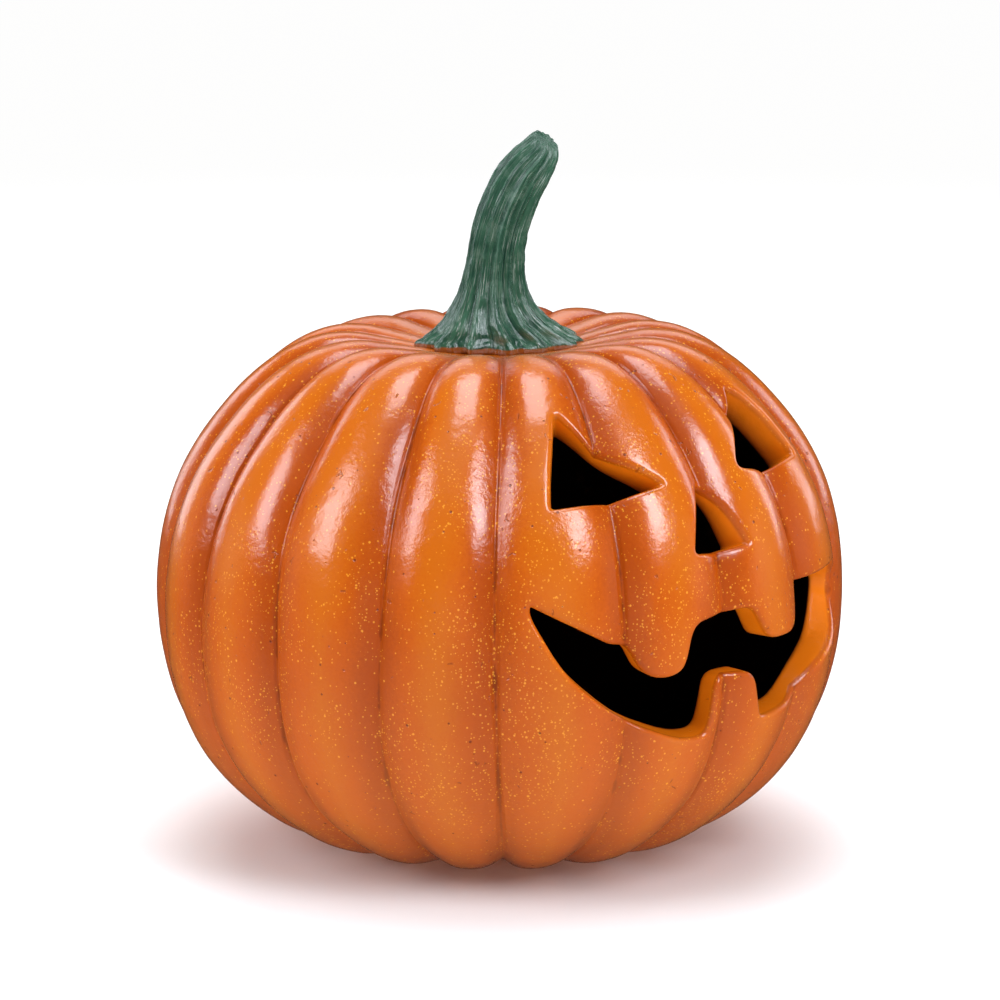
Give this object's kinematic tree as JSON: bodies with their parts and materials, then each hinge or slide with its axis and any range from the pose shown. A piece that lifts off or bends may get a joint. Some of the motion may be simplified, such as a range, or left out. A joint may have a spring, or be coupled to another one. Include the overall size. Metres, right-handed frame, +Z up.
{
  "type": "carved pumpkin lantern",
  "caption": "Hollow moulded pumpkin lantern with rounded lobes, a cut-out smiling face and a curved ridged stem, finished in glossy paint.",
  "frame": {"origin": "centre of the flat foot, on the surface the lantern stands on", "axes": "+Z up along the body's axis; the carved face looks along -Y; +X is to the viewer's right when looking at the face"},
  "size_m": [0.3199, 0.3158, 0.3296],
  "materials": {
    "orange_paint": "glossy varnish over airbrushed orange with fine yellow spatter",
    "green_paint": "glossy varnish over green paint"
  },
  "bodies": {
    "root": {"shell": "orange_paint", "stem": "green_paint"}
  },
  "joints": []
}
